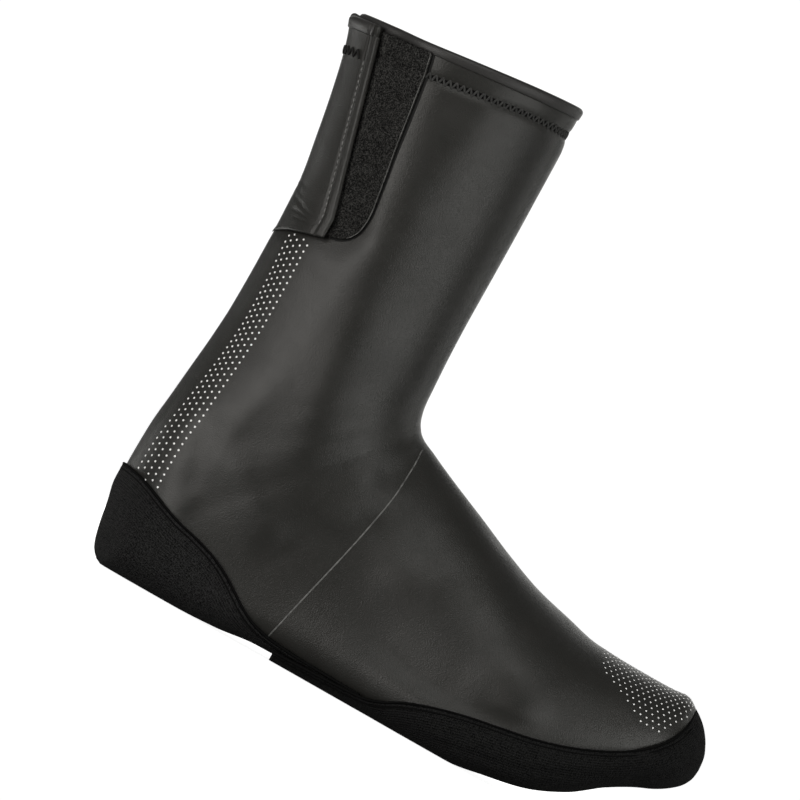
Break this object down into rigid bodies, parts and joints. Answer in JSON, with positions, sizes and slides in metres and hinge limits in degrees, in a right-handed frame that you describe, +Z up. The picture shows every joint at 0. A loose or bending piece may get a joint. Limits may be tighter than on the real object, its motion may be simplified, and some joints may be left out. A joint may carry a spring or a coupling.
{
  "type": "cycling overshoe",
  "caption": "Tall black neoprene cycling overshoe with a rear flap closing on loop tape, bound collar, and knit toe and heel soles with cut-outs for a cleat and a heel pad.",
  "frame": {"origin": "middle of the bounding box, at floor level", "axes": "+X towards the toe, +Y towards the inner side of the foot, +Z up"},
  "size_m": [0.2986, 0.108, 0.2794],
  "materials": {
    "coated_neoprene": "satin",
    "sole_knit": "matte",
    "loop_pile": "matte",
    "edge_binding": "satin"
  },
  "bodies": {
    "root": {"upper": "coated_neoprene", "sole_front": "sole_knit", "sole_rear": "sole_knit", "closure_flap": "coated_neoprene", "loop_tape": "loop_pile", "collar_binding": "edge_binding", "flap_binding": "edge_binding"}
  },
  "joints": []
}
